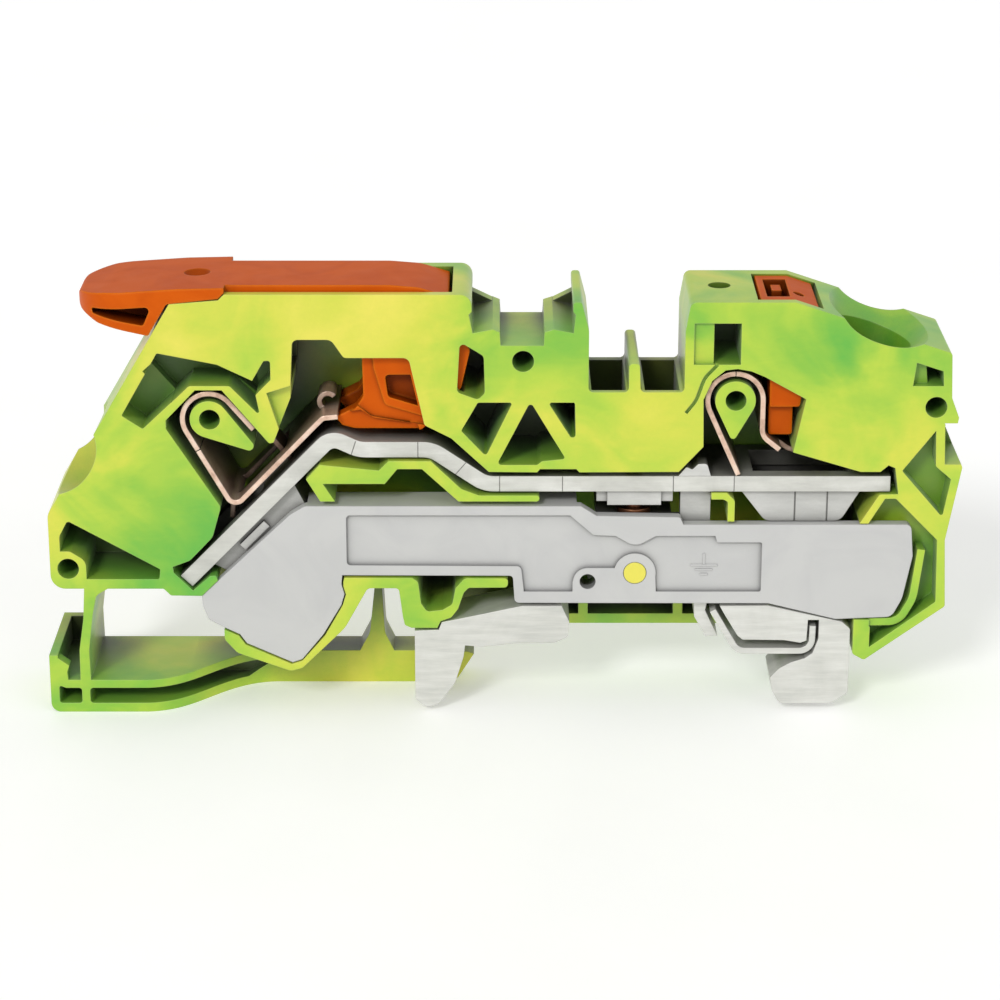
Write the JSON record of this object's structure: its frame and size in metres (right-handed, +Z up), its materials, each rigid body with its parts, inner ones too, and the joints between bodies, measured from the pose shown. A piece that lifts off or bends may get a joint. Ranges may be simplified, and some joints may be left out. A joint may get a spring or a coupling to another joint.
{
  "type": "rail mounted ground terminal block",
  "caption": "Green-yellow rail mounted ground terminal block, open side, with a lever operated clamp, a button operated clamp, a current bar and a rail foot.",
  "frame": {"origin": "centre of the 35 mm mounting rail, on the top plane of its lips, at the middle of the block's width", "axes": "+X along the block from the lever clamp to the button clamp, +Y across its width away from the open side, +Z up from the rail"},
  "size_m": [0.0938, 0.012, 0.0458],
  "materials": {
    "green_yellow_pa": "moulded polyamide, green and yellow swirled together",
    "orange_pa": "moulded orange polyamide, satin",
    "grey_pa": "moulded light grey polyamide, fine grain",
    "tinned_copper": "matt tin plate over copper, sheared edges",
    "tinned_copper_dull": "dull tin plate",
    "spring_steel": "rolled chrome nickel spring steel, warm tone",
    "clamp_steel": "ground and nickel plated steel with fine grinding lines",
    "bare_copper": "bare copper, slightly darkened"
  },
  "bodies": {
    "block": {"housing": "green_yellow_pa", "foot_cover": "grey_pa", "current_bar": "tinned_copper", "lever_side_trough": "tinned_copper_dull", "button_side_trough": "tinned_copper_dull", "lever_spring_anchor": "spring_steel", "button_spring_anchor": "spring_steel", "rail_claw": "clamp_steel", "rail_foot": "clamp_steel", "rail_contact_lug": "clamp_steel", "ground_bracket": "tinned_copper_dull", "contact_block": "tinned_copper_dull", "ground_rivet": "bare_copper", "rivet_washer": "bare_copper", "bar_clip": "tinned_copper_dull"},
    "lever": {"lever": "orange_pa"},
    "lever_spring_arm": {"lever_spring_arm": "spring_steel"},
    "push_button": {"push_button": "orange_pa"},
    "button_spring_leg": {"button_spring_leg": "spring_steel"},
    "foot_spring": {"foot_spring": "clamp_steel"}
  },
  "joints": [
    {"name": "lever_hinge", "type": "hinge", "parent": "block", "child": "lever", "pos_m": [-0.024, 0, 0.038], "axis": [0, 1, 0], "range_deg": [0, 14]},
    {"name": "lever_spring_flex", "type": "hinge", "parent": "block", "child": "lever_spring_arm", "pos_m": [-0.04492, 0, 0.02176], "axis": [0, 1, 0], "range_deg": [-16, 0]},
    {"name": "button_slide", "type": "slide", "parent": "block", "child": "push_button", "axis": [-0.1045, 0, -0.9945], "range_m": [0, 0.0025], "stiffness_N_per_m": 200, "springref_m": -0.0005},
    {"name": "button_spring_flex", "type": "hinge", "parent": "block", "child": "button_spring_leg", "pos_m": [0.0095, 0, 0.0271], "axis": [0, 1, 0], "range_deg": [0, 22]},
    {"name": "foot_spring_flex", "type": "slide", "parent": "block", "child": "foot_spring", "axis": [0, 0, 1], "range_m": [0, 0.0005], "stiffness_N_per_m": 2000, "springref_m": -0.0003}
  ],
  "couplings": [
    {"joint": "lever_spring_flex", "follows": "lever_hinge", "ratio": -1.08},
    {"joint": "button_spring_flex", "follows": "button_slide", "rad_per_m": 146.61}
  ]
}
